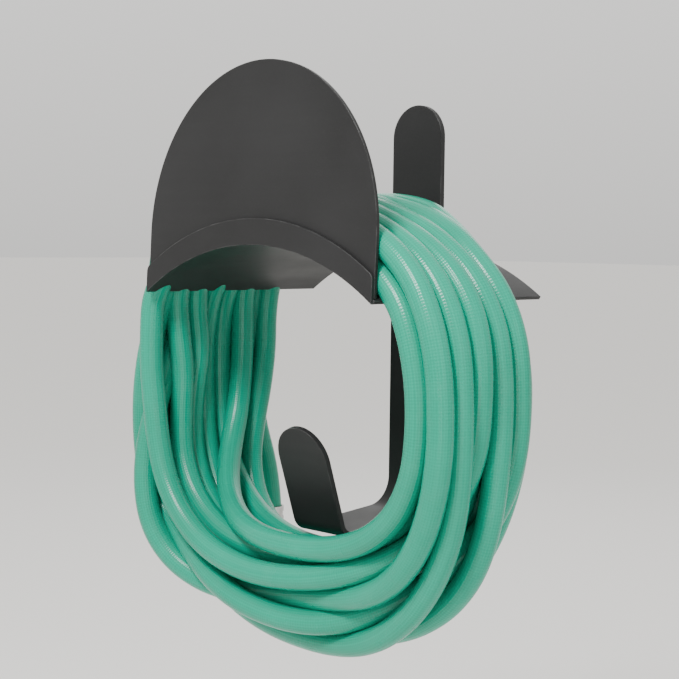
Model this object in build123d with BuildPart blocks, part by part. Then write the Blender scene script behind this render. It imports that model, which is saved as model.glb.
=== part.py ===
"""Wall hanger for a hose, with the hose hung on it in a loose coil.

Frame: X to the right along the wall, +Y into the wall, +Z up, millimetres.
Origin: on the wall face, midway between the two wall screw holes of the back bar.
"""
from build123d import *
import os
from math import cos, radians, sin, sqrt, tan

os.makedirs("parts", exist_ok=True)

# ---- hanger: back bar with the lower hook -------------------------------------
bar_w = 50.0
bar_t = 4.0
bar_top_z = 172.0
wall_hole_pitch = 180.0
wall_hole_r = 3.3
bend_low = (-2.0, -137.4)       # Y, Z where the bar turns forward
bend_front = (-100.2, -146.0)   # Y, Z where the hook turns up
hook_tip = (-126.1, -66.0)      # Y, Z of the hook's rounded end
bend_radii = (24.0, 12.0)

# ---- hanger: saddle and front shield ------------------------------------------
seat_z = 28.0                   # height of the saddle's two straight edges
seat_half_w = 118.0
seat_rise = 36.7
seat_depth = 172.0
sheet_t = 2.5
flange_h = 18.5
flange_back = 2.0               # how far the sheet stops short of the flange's foot
flange_corner_r = 6.0
shield_lean = 2.4               # degrees, back towards the wall
shield_side_h = 43.4            # straight part of the shield's sides
shield_dome_h = 121.6           # rounded part above it
tab_w = 44.0
tab_h = 28.0
tab_screw_x = 13.0
tab_screw_drop = 17.0
screw_thread_r = 2.5
tab_hole_r = 2.75
screw_head_r = 4.75
screw_head_h = 2.75
screw_shank_r = 2.45
screw_socket_r = 1.5
screw_socket_depth = 1.7
screw_head_round = 1.6
fit_gap = 0.4                   # air between parts that are laid together

# ---- hose ---------------------------------------------------------------------
hose_d = 18.0
hose_bore = 12.5
coil_front_y = -163.0
coil_back_y = -39.0
coil_notch_y = -122.0           # in front of this the coil is lower, under the hose end
coil_tip_gap = 2.2              # coil clear of the saddle's edges
coil_tip_drop = 9.0
notch_past = 20.0
notch_h = 60.0
edge_round = 7.0

# Right half of the coil's outlines as X, Z: its outside, its opening, the top of the notch.
coil_outside = [
    (0, 113), (66, 93), (111, 59), (144, 16), (159, -42), (154, -92), (136, -138), (107, -180),
    (62, -216), (0, -236),
]
coil_inside = [(118, 28), (122, 16), (125, -22), (120, -62), (102, -108), (62, -140), (0, -152)]
notch_top = [(0, 92.5), (62, 88), (104, 64), (134, 28), (152, 0)]

# Middle line of each free end, from inside the coil to the cut end.
tap_tail = [(-141, -49, -10), (-143, -45, -70), (-145, -20, -135), (-145, -20, -180)]
spray_tail = [(-147, -146, -10), (-112, -144, 72), (-64, -142, 107), (-14, -142, 107)]

# ---- hose ends ----------------------------------------------------------------
ferrule_len = 26.0
shank_len = 28.0
shank_r = 6.2
fit_bore_r = 4.5
collar_r = 10.2                 # collar that stops the hose, on both fittings
neck_r = 8.0                    # waist of a fitting outside its collar
tap_flange_r = 12.6             # flange that the swivel nut pulls on
tap_flange_out = (9.0, 11.4)    # its two faces, measured out from the hose's cut end
tap_thread_r = 13.22            # 3/4 inch tap thread, half its major diameter
tap_thread_out = (14.2, 24.0)
nut_r = 15.8
nut_back_out = 4.0
nut_hole_r = 8.3
nut_relief_r = 13.6
nut_grooves = 18
washer_thickness = 2.55
socket_wall_r = 9.0             # socket body under the sleeve
socket_hex_r = 12.7
plug_bore_r = 6.05
sleeve_r = 12.9
sleeve_out = (26.0, 54.6)
sleeve_hole_r = 9.06
sleeve_grooves = 24
ball_out = 47.0
ball_r = 1.7
ball_centre_r = 7.33
ball_count = 4
seal_out = 39.12
seal_wire_r = 0.95

seat_r = (seat_half_w ** 2 + seat_rise ** 2) / (2 * seat_rise)
seat_centre_z = seat_z + seat_rise - seat_r
seat_top_r = seat_r + sheet_t
tab_screw_z = seat_z + seat_rise - tab_screw_drop
shield_plane = Plane(
    origin=(0, -seat_depth, seat_z),
    x_dir=(1, 0, 0),
    z_dir=(0, -cos(radians(shield_lean)), sin(radians(shield_lean))),
)
tap_plane = Plane(origin=tap_tail[-1], x_dir=(1, 0, 0), z_dir=(0, 1, 0))
spray_plane = Plane(origin=spray_tail[-1], x_dir=(0, 0, 1), z_dir=(0, 1, 0))


def arc_z(radius, x):
    """Height of a circle about the saddle's own centre, at x."""
    return seat_centre_z + sqrt(radius ** 2 - x ** 2)


def mirrored(points):
    """Right half points, top to bottom, then the left half back to the top."""
    return points + [(-x, z) for x, z in reversed(points) if x > 0]


# ---- back bar -----------------------------------------------------------------
def make_back_bar():
    low, front, tip = bend_low, bend_front, hook_tip
    run = (tip[0] - front[0], tip[1] - front[1])
    run_len = sqrt(run[0] ** 2 + run[1] ** 2)
    up = (0, run[0] / run_len, run[1] / run_len)
    tip_plane = Plane(origin=(0, tip[0], tip[1]), x_dir=(1, 0, 0), z_dir=(0, -up[2], up[1]))
    with BuildPart() as bar:
        with BuildLine(Plane.YZ) as route:
            FilletPolyline((low[0], bar_top_z), low, front, tip, radius=list(bend_radii))
        with BuildSketch(Plane(origin=route.line @ 0, x_dir=(1, 0, 0), z_dir=route.line % 0)):
            Rectangle(bar_w, bar_t)
        sweep()
        with BuildSketch(Plane.XZ):
            with Locations((0, bar_top_z)):
                Rectangle(bar_w + 2, bar_w)
            with Locations((0, bar_top_z - bar_w / 2)):
                Circle(bar_w / 2, mode=Mode.SUBTRACT)
            with Locations((0, bar_top_z - bar_w)):
                Rectangle(bar_w + 4, bar_w, mode=Mode.SUBTRACT)
        extrude(amount=2 * bar_t, both=True, mode=Mode.SUBTRACT)
        with BuildSketch(tip_plane):
            Rectangle(bar_w + 2, bar_w)
            with Locations((0, -bar_w / 2)):
                Circle(bar_w / 2, mode=Mode.SUBTRACT)
            with Locations((0, -bar_w)):
                Rectangle(bar_w + 4, bar_w, mode=Mode.SUBTRACT)
        extrude(amount=2 * bar_t, both=True, mode=Mode.SUBTRACT)
        with BuildSketch(Plane.XZ):
            with Locations((0, wall_hole_pitch / 2), (0, -wall_hole_pitch / 2)):
                Circle(wall_hole_r)
            with Locations((-tab_screw_x, tab_screw_z), (tab_screw_x, tab_screw_z)):
                Circle(screw_thread_r)
        extrude(amount=2 * bar_t, both=True, mode=Mode.SUBTRACT)
    return bar


# ---- saddle -------------------------------------------------------------------
def make_saddle():
    top_x = seat_top_r * seat_half_w / seat_r
    with BuildPart() as saddle:
        with BuildSketch(Plane.XZ):
            with BuildLine():
                ThreePointArc((-seat_half_w, seat_z), (0, seat_z + seat_rise), (seat_half_w, seat_z))
                Line((seat_half_w, seat_z), (top_x, arc_z(seat_top_r, top_x)))
                ThreePointArc(
                    (top_x, arc_z(seat_top_r, top_x)),
                    (0, seat_centre_z + seat_top_r),
                    (-top_x, arc_z(seat_top_r, top_x)),
                )
                Line((-top_x, arc_z(seat_top_r, top_x)), (-seat_half_w, seat_z))
            make_face()
        extrude(amount=seat_depth - flange_back)
        with BuildSketch(shield_plane):
            with BuildLine():
                ThreePointArc((-seat_half_w, 0), (0, seat_rise), (seat_half_w, 0))
                Line((seat_half_w, 0), (seat_half_w, flange_h))
                ThreePointArc((seat_half_w, flange_h), (0, seat_rise + flange_h), (-seat_half_w, flange_h))
                Line((-seat_half_w, flange_h), (-seat_half_w, 0))
            make_face()
        extrude(amount=-sheet_t)
        corners = saddle.edges().filter_by(lambda e: e.length < sheet_t * 1.01)
        corners = corners.filter_by(lambda e: e.center().Z > seat_z + flange_h - 2)
        corners = corners.filter_by(lambda e: abs(e.center().X) > seat_half_w - 1)
        fillet(corners, flange_corner_r)
        with BuildSketch(Plane.XZ.offset(bar_t)):
            with Locations((0, seat_z + seat_rise - tab_h / 2 + sheet_t / 2)):
                Rectangle(tab_w, tab_h)
        extrude(amount=sheet_t)
        with BuildSketch(Plane.XZ):
            with Locations((0, seat_z + seat_rise)):
                Rectangle(bar_w + 2 * fit_gap, tab_h)
        extrude(amount=bar_t, mode=Mode.SUBTRACT)
        with BuildSketch(Plane.XZ):
            with Locations((-tab_screw_x, tab_screw_z), (tab_screw_x, tab_screw_z)):
                Circle(tab_hole_r)
        extrude(amount=4 * bar_t, mode=Mode.SUBTRACT)
    return saddle


def make_shield():
    base_r = seat_top_r + fit_gap
    base_y = arc_z(base_r, seat_half_w) - seat_z
    with BuildPart() as shield:
        with BuildSketch(shield_plane.offset(-sheet_t)):
            with BuildLine():
                Line((seat_half_w, base_y), (seat_half_w, shield_side_h))
                EllipticalCenterArc((0, shield_side_h), seat_half_w, shield_dome_h, arc_size=180)
                Line((-seat_half_w, shield_side_h), (-seat_half_w, base_y))
                ThreePointArc(
                    (-seat_half_w, base_y), (0, arc_z(base_r, 0) - seat_z), (seat_half_w, base_y)
                )
            make_face()
        extrude(amount=-sheet_t)
    return shield


def make_saddle_screws():
    with BuildPart() as screws:
        for x in (-tab_screw_x, tab_screw_x):
            face = Plane(origin=(x, -bar_t - sheet_t, tab_screw_z), x_dir=(1, 0, 0), z_dir=(0, -1, 0))
            with BuildSketch(face):
                Circle(screw_head_r)
            extrude(amount=screw_head_h)
            with BuildSketch(face):
                Circle(screw_shank_r)
            extrude(amount=-(sheet_t + bar_t - 0.5))
            with BuildSketch(face.offset(screw_head_h)):
                RegularPolygon(screw_socket_r, 6)
            extrude(amount=-screw_socket_depth, mode=Mode.SUBTRACT)
        head_y = -bar_t - sheet_t - screw_head_h
        rims = screws.edges().filter_by(GeomType.CIRCLE)
        rims = rims.filter_by(lambda e: e.radius > screw_shank_r + 1 and e.center().Y < head_y + 0.1)
        fillet(rims, screw_head_round)
    return screws


# ---- hose ---------------------------------------------------------------------
def make_coil():
    gap_r = seat_top_r + fit_gap
    corner_x = seat_half_w + coil_tip_gap
    low_z = seat_z - coil_tip_drop
    with BuildPart() as coil:
        with BuildSketch(Plane.XZ.offset(-coil_back_y)):
            with BuildLine():
                Spline(*mirrored(coil_outside), periodic=True)
            make_face()
        extrude(amount=coil_back_y - coil_front_y)
        fillet(coil.edges(), edge_round)
        with BuildSketch(Plane.XZ):
            with BuildLine():
                Spline(*coil_inside)
                Spline(*[(-x, z) for x, z in coil_inside])
                Line((-coil_inside[0][0], coil_inside[0][1]), coil_inside[0])
            make_face()
            with BuildLine():
                ThreePointArc(
                    (-corner_x, arc_z(gap_r, corner_x)),
                    (0, arc_z(gap_r, 0)),
                    (corner_x, arc_z(gap_r, corner_x)),
                )
                Line((corner_x, arc_z(gap_r, corner_x)), (corner_x, low_z))
                Line((corner_x, low_z), (-corner_x, low_z))
                Line((-corner_x, low_z), (-corner_x, arc_z(gap_r, corner_x)))
            make_face()
        extrude(amount=seat_depth, mode=Mode.SUBTRACT)
        rise = [(-x, z) for x, z in reversed(notch_top)] + notch_top[1:]
        end_x, end_z = notch_top[-1]
        side_x = end_x + notch_past
        with BuildSketch(Plane.XZ.offset(-coil_notch_y)):
            with BuildLine():
                Spline(*rise)
                Line((end_x, end_z), (side_x, end_z))
                Line((side_x, end_z), (side_x, bar_top_z))
                Line((side_x, bar_top_z), (-side_x, bar_top_z))
                Line((-side_x, bar_top_z), (-side_x, end_z))
                Line((-side_x, end_z), (-end_x, end_z))
            make_face()
        extrude(amount=notch_h, mode=Mode.SUBTRACT)
    return coil


def bend_radii_of(points):
    """Largest tangent arc at each inner point: 0.45 of the shorter run / tan(half the turn)."""
    radii = []
    for before, here, after in zip(points, points[1:], points[2:]):
        run_in = Vector(*here) - Vector(*before)
        run_out = Vector(*after) - Vector(*here)
        turn = radians(run_in.get_angle(run_out))
        radii.append(0.45 * min(run_in.length, run_out.length) / tan(turn / 2))
    return radii


def make_tail(points, coil):
    radii = bend_radii_of(points)
    with BuildPart() as tail:
        with BuildLine() as route:
            FilletPolyline(*points, radius=radii)
        with BuildSketch(Plane(origin=route.line @ 0, z_dir=route.line % 0)):
            Circle(hose_d / 2)
            Circle(hose_bore / 2, mode=Mode.SUBTRACT)
        sweep()
        add(coil.part, mode=Mode.SUBTRACT)
    keep = tail.part.solids().sort_by(lambda s: (s.center() - Vector(*points[-1])).length)[0]
    return keep


# ---- hose ends ----------------------------------------------------------------
def turned(plane, profile):
    """Solid of revolution: profile of (radius, distance out from the hose's cut end)."""
    with BuildPart() as piece:
        with BuildSketch(plane):
            with BuildLine():
                Polyline(*profile, close=True)
            make_face()
        revolve(axis=Axis(plane.origin, plane.y_dir))
    return piece


def along(plane, distance):
    """Plane square to the fitting's axis, at a distance out from the hose's cut end."""
    return Plane(origin=plane.origin + plane.y_dir * distance, x_dir=plane.x_dir, z_dir=plane.y_dir)


def grooved(piece, plane, start, stop, radius, count, groove_r):
    """Grip grooves cut along the outside of a turned piece."""
    with BuildPart() as grip:
        add(piece.part)
        with BuildSketch(along(plane, start)):
            with PolarLocations(radius, count):
                Circle(groove_r)
        extrude(amount=stop - start, mode=Mode.SUBTRACT)
    return grip


def hexed(piece, plane, start, stop, across_corners_r, bore_r):
    """Adds a hexagon with a round bore to a turned piece."""
    with BuildPart() as body:
        add(piece.part)
        with BuildSketch(along(plane, start)):
            RegularPolygon(across_corners_r, 6)
            Circle(bore_r, mode=Mode.SUBTRACT)
        extrude(amount=stop - start)
    return body


def make_ferrule(plane):
    inner, outer = hose_d / 2 + 0.05, hose_d / 2 + 1.3
    waist = outer - 0.7
    rings = [(inner, -ferrule_len), (outer, -ferrule_len)]
    for k in range(3):
        start = -ferrule_len + 4.0 + 7.0 * k
        rings += [(outer, start), (waist, start + 1.2), (waist, start + 3.8), (outer, start + 5.0)]
    rings += [(outer, -0.2), (inner, -0.2)]
    return turned(plane, rings)


def make_spring(plane, start, length, mean_r, wire_r, coils):
    base = plane.origin + plane.y_dir * (start + wire_r)
    height = length - 2 * wire_r
    with BuildPart() as spring:
        with BuildLine():
            wire = Helix(height / coils, height, mean_r, center=base, direction=plane.y_dir)
        with BuildSketch(Plane(origin=wire @ 0, z_dir=wire % 0)):
            Circle(wire_r)
        sweep(is_frenet=True)
    return spring


def make_tap_stem():
    return turned(tap_plane, [
        (fit_bore_r, -shank_len), (shank_r - 0.8, -shank_len), (shank_r, -shank_len + 3),
        (shank_r, 0.1), (collar_r, 0.1), (collar_r, 3.1), (neck_r, 3.1), (neck_r, tap_flange_out[0]),
        (tap_flange_r, tap_flange_out[0]), (tap_flange_r, tap_flange_out[1]),
        (fit_bore_r, tap_flange_out[1]),
    ])


def make_swivel_nut():
    lip = tap_flange_out[0] - 0.2
    mouth = tap_thread_out[1]
    blank = turned(tap_plane, [
        (nut_hole_r, nut_back_out), (nut_r - 1.8, nut_back_out), (nut_r, nut_back_out + 2.2),
        (nut_r, mouth - 1.4), (nut_r - 0.8, mouth), (tap_thread_r, mouth),
        (tap_thread_r, tap_thread_out[0]), (nut_relief_r, tap_thread_out[0]),
        (nut_relief_r, lip), (nut_hole_r, lip),
    ])
    return grooved(blank, tap_plane, nut_back_out + 2.4, mouth - 3, nut_r + 0.6, nut_grooves, 1.1)


def make_tap_washer():
    inner, outer = 6.4, 12.9
    near = tap_flange_out[1] + 0.05
    far = near + washer_thickness
    return turned(tap_plane, [(inner, near), (outer, near), (outer, far), (inner, far)])


def make_spray_adapter():
    blank = turned(spray_plane, [
        (fit_bore_r, -shank_len), (shank_r - 0.8, -shank_len), (shank_r, -shank_len + 3),
        (shank_r, 0.1), (collar_r, 0.1), (collar_r, 8.0), (neck_r, 8.0), (neck_r, 18.0),
        (fit_bore_r, 18.0),
    ])
    return hexed(blank, spray_plane, 1.6, 8.0, 12.4, fit_bore_r)


def make_socket_body():
    blank = turned(spray_plane, [
        (8.05, 8.1), (10.6, 8.1), (10.6, 19.5), (10.9, 19.5), (10.9, 24.0), (socket_wall_r, 24.0),
        (socket_wall_r, 50.4), (8.3, 50.4), (8.3, 51.6), (socket_wall_r, 51.6), (socket_wall_r, 55.2),
        (8.2, 56.0), (6.8, 56.0), (plug_bore_r, 55.2), (plug_bore_r, 40.25), (6.95, 40.25),
        (6.95, 38.0), (4.6, 38.0), (4.6, 34.1), (7.0, 34.1), (7.0, 19.0), (8.05, 19.0),
    ])
    blank = hexed(blank, spray_plane, 8.1, 17.0, socket_hex_r, 8.05)
    with BuildPart() as body:
        add(blank.part)
        for turn in range(ball_count):
            ring = along(spray_plane, ball_out)
            side = ring.x_dir.rotate(Axis((0, 0, 0), ring.z_dir), (turn + 0.5) * 360 / ball_count)
            with BuildSketch(Plane(origin=ring.origin, z_dir=side)):
                Circle(ball_r + 0.05)
            extrude(amount=9.5, mode=Mode.SUBTRACT)
    return body


def make_locking_balls():
    with BuildPart() as balls:
        ring = along(spray_plane, ball_out)
        for turn in range(ball_count):
            side = ring.x_dir.rotate(Axis((0, 0, 0), ring.z_dir), (turn + 0.5) * 360 / ball_count)
            centre = ring.origin + side * ball_centre_r
            with Locations(centre):
                Sphere(ball_r)
    return balls


def make_snap_ring():
    inner, outer, near, far = 8.35, 10.3, 50.5, 51.5
    return turned(spray_plane, [(inner, near), (outer, near), (outer, far), (inner, far)])


def make_sleeve_spring():
    return make_spring(spray_plane, start=24.2, length=19.6, mean_r=10.0, wire_r=0.5, coils=5)


def make_valve_spring():
    return make_spring(spray_plane, start=18.2, length=12.6, mean_r=5.2, wire_r=0.4, coils=5)


def make_sleeve():
    blank = turned(spray_plane, [
        (11.0, sleeve_out[0]), (sleeve_r - 0.5, sleeve_out[0]), (sleeve_r - 0.5, 30.0), (sleeve_r, 31.0),
        (sleeve_r, 52.6), (sleeve_r - 0.7, sleeve_out[1]), (10.7, sleeve_out[1]), (10.7, 50.2),
        (sleeve_hole_r, 50.2), (sleeve_hole_r, 44.0), (11.0, 44.0),
    ])
    return grooved(blank, spray_plane, 33.0, 50.0, sleeve_r + 0.4, sleeve_grooves, 0.9)


def make_seal_ring():
    with BuildPart() as seal:
        with BuildSketch(spray_plane):
            with Locations((5.97, seal_out)):
                Circle(seal_wire_r)
        revolve(axis=Axis(spray_plane.origin, spray_plane.y_dir))
    return seal


def make_poppet():
    return turned(spray_plane, [
        (0, 24.0), (2.0, 24.0), (2.0, 31.0), (6.6, 31.0), (6.6, 33.2), (5.4, 34.0), (4.2, 34.0),
        (4.2, 42.0), (3.4, 43.0), (0, 43.0),
    ])


def save(part, label):
    part.label = label
    export_step(part, f"parts/{label}.step")


coil = make_coil()
save(make_back_bar().part, "back_bar")
save(make_saddle().part, "saddle")
save(make_shield().part, "front_shield")
save(make_saddle_screws().part, "saddle_screws")
save(coil.part, "hose_coil")
save(make_tail(tap_tail, coil), "hose_tap_tail")
save(make_tail(spray_tail, coil), "hose_spray_tail")
save(make_ferrule(tap_plane).part, "tap_ferrule")
save(make_tap_stem().part, "tap_stem")
save(make_swivel_nut().part, "swivel_nut")
save(make_tap_washer().part, "tap_washer")
save(make_ferrule(spray_plane).part, "socket_ferrule")
save(make_spray_adapter().part, "socket_adapter")
save(make_socket_body().part, "socket_body")
save(make_locking_balls().part, "locking_balls")
save(make_sleeve().part, "release_sleeve")
save(make_sleeve_spring().part, "sleeve_spring")
save(make_snap_ring().part, "snap_ring")
save(make_seal_ring().part, "seal_ring")
save(make_poppet().part, "valve_poppet")
save(make_valve_spring().part, "valve_spring")
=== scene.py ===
import math

import bpy
import numpy as np
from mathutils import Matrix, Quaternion, Vector


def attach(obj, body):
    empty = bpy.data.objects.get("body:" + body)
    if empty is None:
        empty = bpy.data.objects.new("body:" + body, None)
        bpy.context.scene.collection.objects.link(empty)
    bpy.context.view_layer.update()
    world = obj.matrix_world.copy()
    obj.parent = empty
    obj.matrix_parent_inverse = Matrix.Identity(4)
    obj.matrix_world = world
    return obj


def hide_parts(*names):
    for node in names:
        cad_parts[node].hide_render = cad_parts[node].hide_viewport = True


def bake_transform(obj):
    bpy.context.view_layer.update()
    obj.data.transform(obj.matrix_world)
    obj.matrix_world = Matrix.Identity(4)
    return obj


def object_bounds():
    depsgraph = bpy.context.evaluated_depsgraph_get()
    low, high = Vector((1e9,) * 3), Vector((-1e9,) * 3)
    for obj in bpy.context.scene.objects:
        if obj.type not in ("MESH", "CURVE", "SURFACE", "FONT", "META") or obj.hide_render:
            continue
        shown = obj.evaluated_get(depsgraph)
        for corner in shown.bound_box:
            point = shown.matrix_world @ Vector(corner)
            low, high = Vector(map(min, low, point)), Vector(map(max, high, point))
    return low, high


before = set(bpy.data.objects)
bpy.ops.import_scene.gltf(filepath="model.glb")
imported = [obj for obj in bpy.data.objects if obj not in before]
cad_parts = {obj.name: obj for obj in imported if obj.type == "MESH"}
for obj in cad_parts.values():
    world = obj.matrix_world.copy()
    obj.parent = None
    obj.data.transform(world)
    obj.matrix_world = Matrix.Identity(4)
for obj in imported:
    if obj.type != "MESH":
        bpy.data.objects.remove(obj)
cad_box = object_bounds()

# ---------------------------------------------------------------- camera
AZIMUTH, ELEVATION, ROLL = math.radians(45.7), math.radians(3.8), math.radians(0.72)
DISTANCE = 1.100
FOCAL = 81.4
centre = (cad_box[0] + cad_box[1]) / 2
target = Vector((centre.x + 0.0212, centre.y - 0.0183, centre.z + 0.0192))
back = Vector(
    (
        math.sin(AZIMUTH) * math.cos(ELEVATION),
        -math.cos(AZIMUTH) * math.cos(ELEVATION),
        math.sin(ELEVATION),
    )
)
camera = bpy.data.objects.new("camera", bpy.data.cameras.new("camera"))
bpy.context.scene.collection.objects.link(camera)
camera.data.lens = FOCAL
camera.data.sensor_width = 36.0
camera.data.clip_start, camera.data.clip_end = 0.02, 60.0
camera.location = target + back * DISTANCE
camera.rotation_mode = "QUATERNION"
camera.rotation_quaternion = (-back).to_track_quat("-Z", "Y") @ Quaternion((0, 0, 1), ROLL)
bpy.context.scene.camera = camera

# ---------------------------------------------------------------- hose route, in mm
HOSE_R = 9.0
SEAT_Z = 28.0
SEAT_RISE = 36.7
SEAT_HALF_W = 118.0
SEAT_R = (SEAT_HALF_W**2 + SEAT_RISE**2) / (2 * SEAT_RISE)
SEAT_TOP_R = SEAT_R + 2.5
LAYER_RISE = 15.6
SIDE_Z = SEAT_Z - 84.0
PILE_R = SEAT_TOP_R + 2 + 2.9 * HOSE_R
SUNK = 42.0
SEAT_GAP = 0.8
SHIELD_BACK_Y = -166.5
SHIELD_LEAN = math.radians(2.4)
FRONT_Y = -158.0
REAR_Y = -43.0
BAR_HALF_W = 25.0
BAR_GAP = 2.8
STEP_MM = 15.0
TOUCH = 0.25
# height, and how far the turns reach to the right and rear at it
REAR_RIGHT = ([8, 36, 59, 81, 102], [66, 45, 29, 13, -14])
TIGHTEST = 80.0
TAP_TAIL = [(-145, -20, -180), (-145, -20, -135), (-143, -45, -70), (-141, -49, -10)]
SPRAY_TAIL = [(-147, -146, -10), (-112, -144, 72), (-64, -142, 107), (-14, -142, 107)]
SOCKET_ROD, SOCKET_R = ((-24, -142, 107), (44, -142, 107)), 13.4
TAP_ROD, TAP_R = ((-145, -20, -176), (-145, -20, -206)), 16.5
HOOK_LINE = np.array([(-2, 172), (-2, -137.4), (-100.2, -146), (-126.1, -66)], float)
# one row per turn: depth and reach on the left, depth and layer over the saddle,
# depth and reach on the right, depth and drop below the seat at the bottom
TURNS = [
    (-49, 139, -84, 0, -90, 139, -98, 189),
    (-81, 139, -103, 0, -109, 150, -98, 208),
    (-97, 139, -121, 0, -127, 142, -116, 197),
    (-113, 142, -140, 0, -142, 145, -134, 190),
    (-130, 146, -112, 1, -118, 158, -150, 204),
    (-142, 143, -158, 0, -156, 147, -150, 178),
    (-65, 139, -66, 0, -72, 140, -80, 198),
    (-57, 150, -48, 0, -60, 140, -62, 222),
    (-66, 155, -57, 1, -66, 152, -80, 238),
    (-75, 152, -75, 1, -84, 150, -80, 222),
    (-93, 152, -94, 1, -100, 152, -100, 238),
    (-111, 154, -131, 1, -134, 156, -130, 235),
    (-129, 154, -146, 1, -148, 156, -134, 212),
    (-148, 148, -66, 1, -76, 158, -142, 219),
]
LAST_LEFT = (-143, 144)


def between(u, at, values):
    """Eases from each station's value to the next one's."""
    values = np.array(values, float)
    i = np.clip(np.searchsorted(at, u, side="right") - 1, 0, len(at) - 2)
    t = np.clip((u - at[i]) / (at[i + 1] - at[i]), 0, 1)
    ease = 0.5 * t + 0.5 * t * t * (3 - 2 * t)
    return values[i] * (1 - ease) + values[i + 1] * ease


def hung_turns(step=1 / 120):
    """The turns as they would hang if they could pass through each other."""
    n = len(TURNS)
    k = np.arange(n)
    u = np.arange(0.075, n - 0.03, step)
    stations = np.arange(4 * n + 1) / 4
    depth = [d for row in TURNS for d in (row[0], row[2], row[4], row[6])]
    y = between(u, stations, depth + [LAST_LEFT[0]])
    left = between(u, np.arange(n + 1), [row[1] for row in TURNS] + [LAST_LEFT[1]])
    layer = between(u, k + 0.25, [row[3] for row in TURNS])
    right = between(u, k + 0.5, [row[5] for row in TURNS])
    drop = between(u, k + 0.75, [row[7] for row in TURNS])
    crown = SEAT_Z + SEAT_RISE + 3 + HOSE_R + LAYER_RISE * layer
    c, s = np.cos(2 * np.pi * u), np.sin(2 * np.pi * u)
    power = np.where(s > 0, 2 / (2.4 - 0.15 * layer), 2 / 2.3)
    x = np.where(c > 0, -left, right) * np.abs(c) ** power
    end = np.where(s > 0, crown, SEAT_Z - drop)
    return np.stack([x, y, SIDE_Z + (end - SIDE_Z) * np.abs(s) ** power], 1)


def evenly(points, gap):
    run = np.r_[0, np.cumsum(np.linalg.norm(np.diff(points, axis=0), axis=1))]
    at = np.linspace(0, run[-1], int(round(run[-1] / gap)) + 1)
    return np.stack([np.interp(at, run, points[:, i]) for i in range(3)], 1)


def off_rod(p, a, b, clear):
    a, b = np.array(a, float), np.array(b, float)
    t = np.clip((p - a) @ (b - a) / ((b - a) @ (b - a)), 0, 1)
    out = p - (a + t[:, None] * (b - a))
    d = np.linalg.norm(out, axis=1) + 1e-9
    return out / d[:, None] * np.maximum(clear - d, 0)[:, None]


def off_saddle(move, p, r):
    """Out of the saddle's sheet, or up through it where a turn has sunk under it."""
    half_angle = math.asin(SEAT_HALF_W / SEAT_R)
    x, z = p[:, 0], p[:, 2] - (SEAT_Z + SEAT_RISE - SEAT_R)
    angle = np.clip(np.arctan2(x, z), -half_angle, half_angle)
    dx, dz = x - SEAT_TOP_R * np.sin(angle), z - SEAT_TOP_R * np.cos(angle)
    d = np.hypot(dx, dz) + 1e-9
    reach = np.hypot(x, z)
    under = (reach < SEAT_TOP_R) & (reach > SEAT_TOP_R - SUNK)
    under &= np.abs(np.arctan2(x, z)) <= half_angle
    need = np.where(under, d + r + SEAT_GAP, np.maximum(r + SEAT_GAP - d, 0))
    need *= np.where(under, -1, 1)
    move[:, 0] += dx / d * need
    move[:, 2] += dz / d * need


def behind_shield(move, p, r):
    shield = SHIELD_BACK_Y + math.tan(SHIELD_LEAN) * (p[:, 2] - SEAT_Z) + r + 0.5
    move[:, 1] += np.where(p[:, 2] > SEAT_Z - 25, np.maximum(shield - p[:, 1], 0), 0)
    move[:, 1] += np.maximum(FRONT_Y - p[:, 1], 0)


def within_pile(move, p):
    """Into the room that the turns take up: over the saddle, at the rear and at both sides."""
    x, y, height = p[:, 0], p[:, 1], p[:, 2]
    z = height - (SEAT_Z + SEAT_RISE - SEAT_R)
    reach = np.hypot(x, z)
    high = 0.25 * np.maximum(reach - PILE_R, 0) * (height > SEAT_Z)
    move[:, 0] -= high * x / reach
    move[:, 2] -= high * z / reach
    rear = REAR_Y - 14 * np.clip(x / 100, 0, 1) * np.clip(1 + height / 60, 0, 1)
    move[:, 1] -= np.maximum(y - rear, 0)
    inner = 129 - 0.35 * np.maximum(-40 - height, 0)
    beside = (np.abs(x) > 70) & (height > -110) & (height < SEAT_Z)
    move[:, 0] += np.where(beside, np.sign(x) * np.maximum(inner - np.abs(x), 0), 0)
    right = np.minimum(167, 159 - 0.35 * (y + 55))
    move[:, 0] -= 0.5 * np.maximum(x - right, 0)
    left = np.minimum(162, 152 + 0.25 * (y + 156)) - 0.2 * np.maximum(height + 25, 0)
    left -= 0.25 * np.maximum(height - 10, 0) + 0.35 * np.maximum(-105 - height, 0)
    move[:, 0] += 0.6 * np.maximum(-x - left, 0)
    over = 0.7 * x + 0.714 * y - np.interp(height, *REAR_RIGHT)
    over = 0.6 * np.maximum(over, 0) * (height > REAR_RIGHT[0][0]) * (x > 0)
    move[:, 0] -= 0.7 * over
    move[:, 1] -= 0.714 * over


def off_bar(move, p, r):
    x = p[:, 0]
    for a, b in zip(HOOK_LINE[:-1], HOOK_LINE[1:]):
        t = np.clip((p[:, 1:] - a) @ (b - a) / ((b - a) @ (b - a)), 0, 1)
        near = a + t[:, None] * (b - a)
        beside = x - np.clip(x, -BAR_HALF_W, BAR_HALF_W)
        out = np.stack([beside, p[:, 1] - near[:, 0], p[:, 2] - near[:, 1]], 1)
        d = np.linalg.norm(out, axis=1) + 1e-9
        move += out / d[:, None] * np.maximum(r + BAR_GAP - d, 0)[:, None]


def off_hanger(p, r):
    """How far each point has to move to clear the hanger and the fittings."""
    move = np.zeros_like(p)
    off_saddle(move, p, r)
    behind_shield(move, p, r)
    within_pile(move, p)
    off_bar(move, p, r)
    move += off_rod(p, *SOCKET_ROD, SOCKET_R + r)
    move += off_rod(p, *TAP_ROD, TAP_R + r)
    return move


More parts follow.
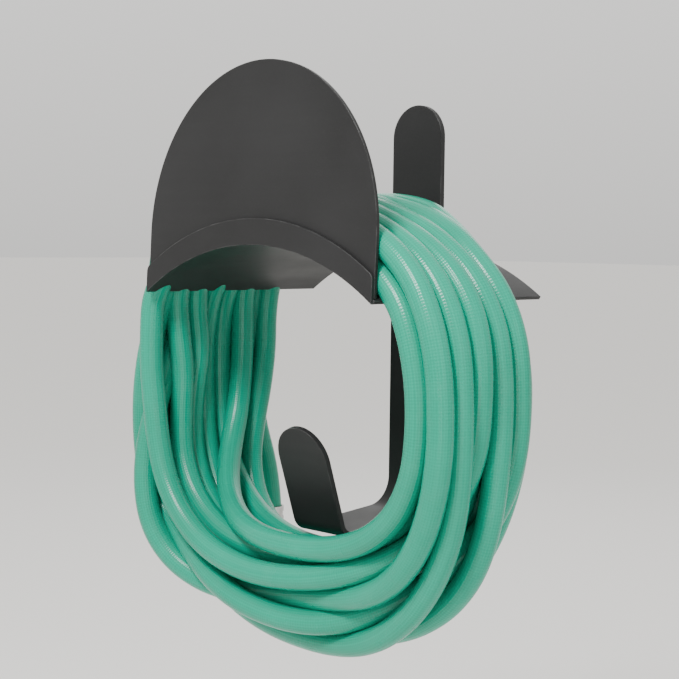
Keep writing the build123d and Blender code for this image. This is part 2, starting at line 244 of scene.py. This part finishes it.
def near_pairs(p, reach, apart):
    found = []
    for start in range(0, len(p), 200):
        d = ((p[start : start + 200, None] - p[None]) ** 2).sum(2)
        i, j = np.nonzero(d < reach**2)
        found.append(np.stack([i + start, j], 1)[np.abs(i + start - j) > apart])
    pairs = np.concatenate(found)
    return pairs[pairs[:, 1] < len(p) - 1].T


def apart(p, i, j, r):
    """How far the touching runs of hose push each other's points."""
    along = p[j + 1] - p[j]
    t = np.clip(((p[i] - p[j]) * along).sum(1) / (along * along).sum(1), 0, 1)[:, None]
    out = p[i] - p[j] - t * along
    d = np.linalg.norm(out, axis=1)[:, None] + 1e-9
    push = out / d * np.maximum(2 * r + TOUCH - d, 0)
    hit = d[:, 0] < 2 * r + TOUCH
    move, share = np.zeros_like(p), np.zeros(len(p))
    for index, weight in ((i, 0.5 + 0 * t), (j, -0.5 * (1 - t)), (j + 1, -0.5 * t)):
        np.add.at(move, index[hit], (weight * push)[hit])
        np.add.at(share, index[hit], 2 * np.abs(weight[hit, 0]))
    return move / np.maximum(share, 1)[:, None]


def bowed(p):
    """How far each point lies from the middle of its neighbours."""
    bow = np.zeros_like(p)
    bow[1:-1] = (p[:-2] + p[2:]) / 2 - p[1:-1]
    return bow


def stiffness(p, gap):
    """How far each point moves to ease a bend that is tighter than the hose takes."""
    sharp = bowed(p)
    depth = np.linalg.norm(sharp, axis=1)[:, None] + 1e-9
    sharp *= np.maximum(1 - gap**2 / (2 * TIGHTEST) / depth, 0)
    sharp[1:-1] -= (sharp[:-2] + sharp[2:]) / 2
    return sharp


def settle(p, held, steps=900, gap=STEP_MM):
    """Swells the hose to its real thickness while its turns push each other aside."""
    aim = p.copy()
    free = np.where(held, 0.0, 1.0)[:, None]
    swelling = 0.6 * steps
    for step in range(steps):
        r = HOSE_R * min(1.0, 0.15 + 0.85 * step / swelling)
        if step % 8 == 0:
            i, j = near_pairs(p, 34.0, int(60 / gap))
        p = p + free * 1.5 * apart(p, i, j, r)
        p = p + free * bowed(p - aim) * (0.45 if step < 0.8 * steps else 0.16)
        if step < swelling:
            p = p + 0.01 * free * (aim - p)
        for _ in range(3):
            p = p + 0.4 * free * stiffness(p, gap)
        p = p + free * off_hanger(p, r)
    return p


def hose_points():
    tap, spray = np.array(TAP_TAIL, float), np.array(SPRAY_TAIL, float)
    middle = evenly(np.concatenate([tap[-1:], hung_turns(), spray[:1]]), STEP_MM)
    p = np.concatenate([tap[:-1], middle, spray[1:]])
    held = np.zeros(len(p), bool)
    held[:4] = held[-4:] = True
    p = settle(p, held)
    return np.concatenate([p[:4], p[4:-4][1::2], p[-4:]]) / 1000


def nurbs_line(name, points):
    curve = bpy.data.curves.new(name, "CURVE")
    curve.dimensions = "3D"
    spline = curve.splines.new("NURBS")
    spline.points.add(len(points) - 1)
    for point, co in zip(spline.points, points):
        point.co = (*co, 1.0)
    spline.order_u = 3
    spline.use_endpoint_u = True
    spline.resolution_u = 8
    return bpy.data.objects.new(name, curve)


def line_points(curve_object):
    bpy.context.scene.collection.objects.link(curve_object)
    bpy.context.view_layer.update()
    mesh = bpy.data.meshes.new_from_object(
        curve_object.evaluated_get(bpy.context.evaluated_depsgraph_get())
    )
    co = np.empty(len(mesh.vertices) * 3)
    mesh.vertices.foreach_get("co", co)
    bpy.data.objects.remove(curve_object)
    bpy.data.meshes.remove(mesh)
    return co.reshape(-1, 3)


def tube(name, path, radius, sides=28):
    """A tube along the path, its frames carried along without twist."""
    tangent = np.gradient(path, axis=0)
    tangent /= np.linalg.norm(tangent, axis=1)[:, None]
    normal = np.empty_like(path)
    normal[0] = np.cross(tangent[0], (0.3, 1, 0.2))
    for i in range(1, len(path)):
        normal[i] = normal[i - 1] - tangent[i] * (normal[i - 1] @ tangent[i])
        normal[i] /= np.linalg.norm(normal[i])
    normal[0] /= np.linalg.norm(normal[0])
    side = np.cross(tangent, normal)
    a = np.linspace(0, 2 * np.pi, sides, endpoint=False)
    ring = np.cos(a)[None, :, None] * normal[:, None] + np.sin(a)[None, :, None] * side[:, None]
    verts = (path[:, None] + radius * ring).reshape(-1, 3)
    n = len(path)
    i, k = np.meshgrid(np.arange(n - 1), np.arange(sides), indexing="ij")
    k2 = (k + 1) % sides
    faces = np.stack([i * sides + k, i * sides + k2, (i + 1) * sides + k2, (i + 1) * sides + k], -1)
    faces = faces.reshape(-1, 4)
    mesh = bpy.data.meshes.new(name)
    mesh.from_pydata(verts.tolist(), [], faces.tolist())
    run = np.r_[0, np.cumsum(np.linalg.norm(np.diff(path, axis=0), axis=1))] / (2 * np.pi * radius)
    u = np.stack([run[i], run[i], run[i + 1], run[i + 1]], -1).reshape(-1)
    v = np.stack([k, k + 1, k + 1, k], -1).reshape(-1) / sides
    layer = mesh.uv_layers.new(name="UVMap")
    layer.data.foreach_set("uv", np.stack([u, v], 1).reshape(-1))
    mesh.polygons.foreach_set("use_smooth", np.ones(len(faces), bool))
    mesh.update()
    piece = bpy.data.objects.new(name, mesh)
    bpy.context.scene.collection.objects.link(piece)
    return piece


# ---------------------------------------------------------------- materials
class Shade:
    """A material's node tree, built one node at a time."""

    def __init__(self, name):
        self.material = bpy.data.materials.new(name)
        self.material.use_nodes = True
        self.tree = self.material.node_tree
        self.body = self.tree.nodes["Principled BSDF"]

    def node(self, kind, settings=None, **inputs):
        made = self.tree.nodes.new("ShaderNode" + kind)
        for key, value in (settings or {}).items():
            setattr(made, key, value)
        for key, value in inputs.items():
            self.put(made, key.replace("_", " "), value)
        return made

    def put(self, node, key, value):
        numbered = key[0] == "i" and key[1:].isdigit()
        socket = node.inputs[int(key[1:])] if numbered else node.inputs[key]
        if isinstance(value, bpy.types.NodeSocket):
            self.tree.links.new(value, socket)
        else:
            socket.default_value = value

    def set(self, **values):
        for key, value in values.items():
            self.put(self.body, key.replace("_", " "), value)

    def math(self, operation, a, b=0.0):
        return self.node("Math", {"operation": operation}, i0=a, i1=b).outputs[0]

    def noise(self, scale, detail=3.0, where="Object"):
        at = self.node("TexCoord").outputs[where]
        return self.node("TexNoise", Vector=at, Scale=scale, Detail=detail).outputs["Fac"]

    def ramp(self, value, low, high, from_low=0.35, from_high=0.65):
        made = self.node("MapRange", Value=value)
        limits = {"From Min": from_low, "From Max": from_high, "To Min": low, "To Max": high}
        for key, number in limits.items():
            made.inputs[key].default_value = number
        return made.outputs[0]

    def mix(self, value, a, b):
        made = self.node("Mix", {"data_type": "RGBA"}, Factor=value)
        for socket, colour in ((made.inputs[6], a), (made.inputs[7], b)):
            if isinstance(colour, bpy.types.NodeSocket):
                self.tree.links.new(colour, socket)
            else:
                socket.default_value = (*colour, 1.0)
        return made.outputs[2]

    def bump(self, height, distance, strength=1.0, normal=None):
        made = self.node("Bump", Height=height, Distance=distance, Strength=strength)
        if normal is not None:
            self.put(made, "Normal", normal)
        return made.outputs[0]


def braided_pvc():
    """Green PVC over a diamond braid that prints through to the skin."""
    m = Shade("hose_pvc")
    uv = m.node("SeparateXYZ", Vector=m.node("TexCoord").outputs["UV"])
    u, v = uv.outputs[0], uv.outputs[1]
    yarns = 14 * 2 * math.pi
    one = m.math("SINE", m.math("MULTIPLY", m.math("ADD", u, v), yarns))
    two = m.math("SINE", m.math("MULTIPLY", m.math("SUBTRACT", u, v), yarns))
    cell = m.math("MULTIPLY", one, two)
    cell = m.ramp(cell, 0.0, 1.0, -1.0, 1.0)
    streak = m.node("TexNoise", Scale=1.0, Detail=2.0)
    stretch = m.node("Mapping", Vector=m.node("TexCoord").outputs["UV"], Scale=(0.25, 30.0, 1.0))
    m.put(streak, "Vector", stretch.outputs[0])
    tone = m.ramp(m.noise(9.0), 0.0, 1.0)
    green = m.mix(tone, (0.0003, 0.205, 0.122), (0.0006, 0.255, 0.158))
    green = m.mix(m.math("MULTIPLY", cell, 0.30), green, (0.002, 0.44, 0.285))
    green = m.mix(m.ramp(streak.outputs["Fac"], 0.0, 0.22), green, (0.001, 0.13, 0.080))
    dust = m.ramp(m.noise(60.0, 6.0), 0.0, 0.02, 0.5, 0.75)
    green = m.mix(dust, green, (0.33, 0.52, 0.45))
    rough = m.math("ADD", m.ramp(m.noise(25.0, 5.0), 0.23, 0.32), m.math("MULTIPLY", dust, 0.6))
    raised = m.math("MULTIPLY", streak.outputs["Fac"], 0.35)
    relief = m.math("ADD", m.math("MULTIPLY", cell, 1.0), raised)
    m.set(Base_Color=green, Roughness=rough, Normal=m.bump(relief, 0.00022, 0.55))
    m.set(Coat_Weight=0.05, Coat_Roughness=0.15, IOR=1.45, Specular_IOR_Level=0.28)
    return m.material


def powder_coat(name="powder_coat", worn=0.5):
    """Fine-textured charcoal powder coat, thinner and paler along the edges."""
    m = Shade(name)
    rounded = m.node("Bevel", {"samples": 6}, Radius=0.0011).outputs[0]
    flat = m.node("NewGeometry").outputs["Normal"]
    edge = m.node("VectorMath", {"operation": "DISTANCE"}, i0=rounded, i1=flat).outputs["Value"]
    grain = m.noise(1400.0, 2.0)
    speck = m.ramp(m.noise(2600.0, 1.0), 0.0, 1.0, 0.62, 0.72)
    tone = m.ramp(m.noise(11.0, 5.0), 0.0, 1.0)
    grey = m.mix(tone, (0.011, 0.011, 0.0112), (0.015, 0.015, 0.0153))
    grey = m.mix(m.math("MULTIPLY", speck, 0.25), grey, (0.055, 0.055, 0.055))
    rubbed = m.ramp(m.noise(90.0, 4.0), 0.0, worn, 0.4, 0.7)
    wear = m.math("MULTIPLY", m.ramp(edge, 0.0, 1.0, 0.15, 0.6), rubbed)
    grey = m.mix(wear, grey, (0.15, 0.15, 0.15))
    scuff = m.node("TexNoise", Scale=1.0, Detail=4.0)
    place = m.node("TexCoord").outputs["Object"]
    stretch = m.node("Mapping", Vector=place, Scale=(14.0, 14.0, 120.0))
    m.put(scuff, "Vector", stretch.outputs[0])
    scuffed = m.ramp(scuff.outputs["Fac"], -0.03, 0.04)
    rough = m.math("ADD", m.ramp(tone, 0.44, 0.52, 0.0, 1.0), scuffed)
    m.set(Base_Color=grey, Roughness=rough, Normal=m.bump(grain, 0.00009, 0.35, rounded))
    m.set(IOR=1.5, Specular_IOR_Level=0.25)
    return m.material


def metal(name, dark, light, rough, lay=(1.0, 1.0, 1.0), relief=0.00003):
    """Turned or plated metal: a grain along the machining, a slow tarnish and softened edges."""
    m = Shade(name)
    rounded = m.node("Bevel", {"samples": 4}, Radius=0.00025).outputs[0]
    stretch = m.node("Mapping", Vector=m.node("TexCoord").outputs["Object"], Scale=lay)
    grain = m.node("TexNoise", Vector=stretch.outputs[0], Scale=300.0, Detail=4.0).outputs["Fac"]
    tarnish = m.ramp(m.noise(70.0, 5.0), 0.0, 1.0)
    m.set(Base_Color=m.mix(tarnish, dark, light), Metallic=1.0)
    polish = m.math("MULTIPLY", tarnish, -0.05)
    spread = m.math("ADD", m.ramp(grain, rough - 0.05, rough + 0.06), polish)
    m.set(Roughness=spread, Normal=m.bump(grain, relief, 0.5, rounded))
    return m.material


def rubber():
    m = Shade("rubber")
    tone = m.ramp(m.noise(160.0, 4.0), 0.0, 1.0)
    m.set(Base_Color=m.mix(tone, (0.016, 0.016, 0.017), (0.030, 0.030, 0.031)))
    m.set(Roughness=m.ramp(tone, 0.62, 0.74, 0.0, 1.0))
    m.set(Normal=m.bump(m.noise(2200.0, 3.0), 0.00004, 0.5))
    return m.material


coat = powder_coat()
pvc = braided_pvc()
BRASS = (0.58, 0.37, 0.13), (0.74, 0.53, 0.22), 0.30
brass_across = metal("brass_turned_x", *BRASS, (8.0, 1.0, 1.0))
brass_upright = metal("brass_turned_z", *BRASS, (1.0, 1.0, 8.0))
nickel = metal("nickel_plate", (0.50, 0.48, 0.44), (0.66, 0.64, 0.60), 0.24, (6.0, 1.0, 1.0))
steel = metal("bright_steel", (0.42, 0.42, 0.42), (0.60, 0.60, 0.60), 0.22)
crimp = metal("ferrule_steel", (0.40, 0.40, 0.39), (0.58, 0.58, 0.57), 0.33)
black = metal("black_steel", (0.035, 0.035, 0.036), (0.075, 0.075, 0.078), 0.42)
sealing = rubber()
FINISH = {
    "back_bar": coat,
    "saddle": coat,
    "front_shield": coat,
    "saddle_screws": black,
    "hose_coil": pvc,
    "hose_tap_tail": pvc,
    "hose_spray_tail": pvc,
    "tap_ferrule": crimp,
    "socket_ferrule": crimp,
    "tap_stem": brass_upright,
    "swivel_nut": brass_upright,
    "socket_adapter": brass_across,
    "socket_body": brass_across,
    "valve_poppet": brass_across,
    "release_sleeve": nickel,
    "locking_balls": steel,
    "sleeve_spring": steel,
    "valve_spring": steel,
    "snap_ring": steel,
    "tap_washer": sealing,
    "seal_ring": sealing,
}
for name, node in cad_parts.items():
    for slot in range(max(1, len(node.material_slots))):
        if not node.material_slots:
            node.data.materials.append(FINISH[name])
        node.material_slots[slot].material = FINISH[name]

# ---------------------------------------------------------------- springs of the socket
def sprung(name):
    """A copy of the spring's mesh, baked in place where the hidden CAD part stood."""
    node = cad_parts[name]
    spring = bpy.data.objects.new(name + "_wound", node.data.copy())
    bpy.context.scene.collection.objects.link(spring)
    spring.matrix_world = node.matrix_world
    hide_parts(name)
    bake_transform(spring)
    return spring


springs = [
    sprung("sleeve_spring"),
    sprung("valve_spring"),
]

# ---------------------------------------------------------------- hose
path = line_points(nurbs_line("hose_line", hose_points()))
hose = tube("garden_hose", path, HOSE_R / 1000)
hose.data.materials.append(pvc)
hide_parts("hose_coil", "hose_tap_tail", "hose_spray_tail")
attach(hose, "hanger")

# ---------------------------------------------------------------- stage
floor_z = cad_box[0].z - 0.25
bpy.ops.mesh.primitive_plane_add(size=60, location=(0, 0, floor_z))
floor = bpy.context.object
floor.name = "floor"
pale = Shade("pale_floor")
pale.set(Base_Color=(0.80, 0.79, 0.77, 1.0), Roughness=0.9)
floor.data.materials.append(pale.material)

world = bpy.data.worlds.new("studio")
bpy.context.scene.world = world
world.use_nodes = True
sky = world.node_tree
height = sky.nodes.new("ShaderNodeSeparateXYZ")
glow = sky.nodes.new("ShaderNodeMapRange")
for key, number in (("From Min", -0.3), ("From Max", 0.25), ("To Min", 0.5), ("To Max", 1.3)):
    glow.inputs[key].default_value = number
sky.links.new(sky.nodes.new("ShaderNodeTexCoord").outputs["Generated"], height.inputs[0])
sky.links.new(height.outputs[2], glow.inputs["Value"])
sky.links.new(glow.outputs[0], sky.nodes["Background"].inputs[1])
sky.nodes["Background"].inputs[0].default_value = (0.93, 0.92, 0.90, 1.0)


def soft_light(name, azimuth, elevation, distance, size, power):
    a, e = math.radians(azimuth), math.radians(elevation)
    away = Vector((math.sin(a) * math.cos(e), -math.cos(a) * math.cos(e), math.sin(e)))
    data = bpy.data.lights.new(name, "AREA")
    data.shape = "DISK"
    data.size = size
    data.energy = power
    lamp = bpy.data.objects.new(name, data)
    bpy.context.scene.collection.objects.link(lamp)
    lamp.location = centre + away * distance
    lamp.rotation_mode = "QUATERNION"
    lamp.rotation_quaternion = away.to_track_quat("Z", "Y")


soft_light("key", 18, 44, 1.8, 0.45, 44)
soft_light("fill", 85, 12, 2.2, 1.4, 6)
soft_light("low_fill", 50, -6, 2.0, 0.7, 5)
soft_light("back_fill", 215, 30, 2.2, 1.4, 6)

# ---------------------------------------------------------------- scene update
bpy.context.view_layer.update()
